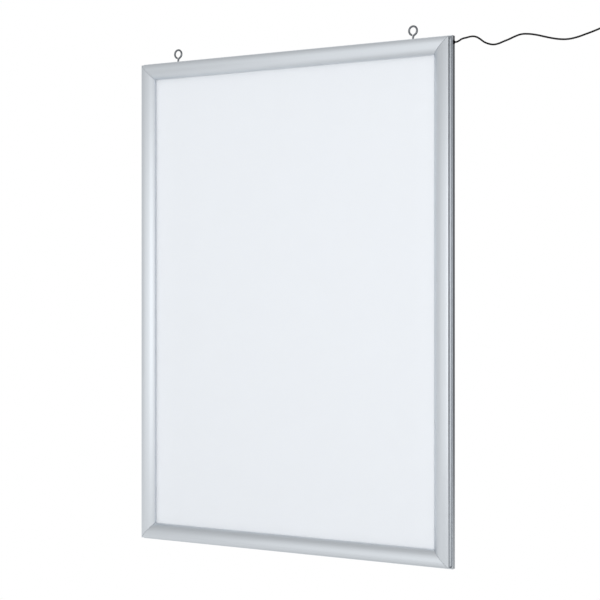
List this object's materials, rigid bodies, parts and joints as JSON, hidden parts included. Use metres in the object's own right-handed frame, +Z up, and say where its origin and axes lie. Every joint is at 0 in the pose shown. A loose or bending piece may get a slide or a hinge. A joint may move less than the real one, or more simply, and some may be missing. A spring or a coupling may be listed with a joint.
{
  "type": "illuminated snap frame",
  "caption": "Slim edge-lit poster frame with mitred aluminium rails that snap open on hinges, hanging eyes at the top and a low-voltage cord at the upper right side.",
  "frame": {"origin": "midway between the centres of the two hanging eyes, which hold the frame up", "axes": "+X across the frame towards the cord side, +Y towards the wall behind it, +Z up"},
  "size_m": [0.9661, 0.0227, 0.9082],
  "materials": {
    "anodised_aluminium": "silver satin anodised extrusion",
    "spring_steel": "blued strip",
    "cast_zinc": "plain zinc casting",
    "blackened_steel": "black oxide",
    "back_sheet": "white rigid foam sheet",
    "reflector_film": "white film",
    "clear_acrylic": "clear, polished edges",
    "opal_acrylic": "opal white, evenly lit from behind",
    "clear_sheet": "clear with a light anti-glare surface",
    "circuit_board": "white solder mask",
    "white_insulation": "plain",
    "zinc_plated_steel": "bright zinc plate",
    "black_rubber": "matte",
    "black_pvc": "smooth sheath",
    "nickel_plate": "bright nickel"
  },
  "bodies": {
    "frame": {"base_top": "anodised_aluminium", "base_bottom": "anodised_aluminium", "base_left": "anodised_aluminium", "base_right": "anodised_aluminium", "corner_key_bottom_left": "cast_zinc", "corner_key_top_left": "cast_zinc", "corner_key_top_right": "cast_zinc", "corner_key_bottom_right": "cast_zinc", "key_screw_bottom_left_1": "blackened_steel", "key_screw_bottom_left_2": "blackened_steel", "key_screw_top_left_1": "blackened_steel", "key_screw_top_left_2": "blackened_steel", "key_screw_top_right_1": "blackened_steel", "key_screw_top_right_2": "blackened_steel", "key_screw_bottom_right_1": "blackened_steel", "key_screw_bottom_right_2": "blackened_steel", "back_panel": "back_sheet", "reflector_sheet": "reflector_film", "light_guide_panel": "clear_acrylic", "diffuser_sheet": "opal_acrylic", "cover_sheet": "clear_sheet", "led_strip_left": "circuit_board", "led_strip_right": "circuit_board", "supply_lead": "white_insulation", "linking_lead": "white_insulation", "eye_bolt_left": "zinc_plated_steel", "eye_bolt_right": "zinc_plated_steel", "hanger_nut_left": "zinc_plated_steel", "hanger_nut_right": "zinc_plated_steel", "cord_grommet": "black_rubber", "power_cord": "black_pvc", "power_cord_coil": "black_pvc", "cord_tie": "black_rubber", "dc_plug_body": "black_pvc", "dc_plug_barrel": "nickel_plate", "dc_plug_insulator": "black_pvc"},
    "top_rail": {"top_rail": "anodised_aluminium", "top_spring_1": "spring_steel", "top_spring_2": "spring_steel"},
    "bottom_rail": {"bottom_rail": "anodised_aluminium", "bottom_spring_1": "spring_steel", "bottom_spring_2": "spring_steel"},
    "left_rail": {"left_rail": "anodised_aluminium", "left_spring_1": "spring_steel", "left_spring_2": "spring_steel", "left_spring_3": "spring_steel"},
    "right_rail": {"right_rail": "anodised_aluminium", "right_spring_1": "spring_steel", "right_spring_2": "spring_steel", "right_spring_3": "spring_steel"}
  },
  "joints": [
    {"name": "top_rail_hinge", "type": "hinge", "parent": "frame", "child": "top_rail", "pos_m": [0, -0.006, -0.018], "axis": [-1, 0, 0], "range_deg": [0, 90]},
    {"name": "bottom_rail_hinge", "type": "hinge", "parent": "frame", "child": "bottom_rail", "pos_m": [0, -0.006, -0.8956], "axis": [1, 0, 0], "range_deg": [0, 90]},
    {"name": "left_rail_hinge", "type": "hinge", "parent": "frame", "child": "left_rail", "pos_m": [-0.3153, -0.006, -0.4568], "axis": [0, 0, -1], "range_deg": [0, 90]},
    {"name": "right_rail_hinge", "type": "hinge", "parent": "frame", "child": "right_rail", "pos_m": [0.3153, -0.006, -0.4568], "axis": [0, 0, 1], "range_deg": [0, 90]}
  ]
}
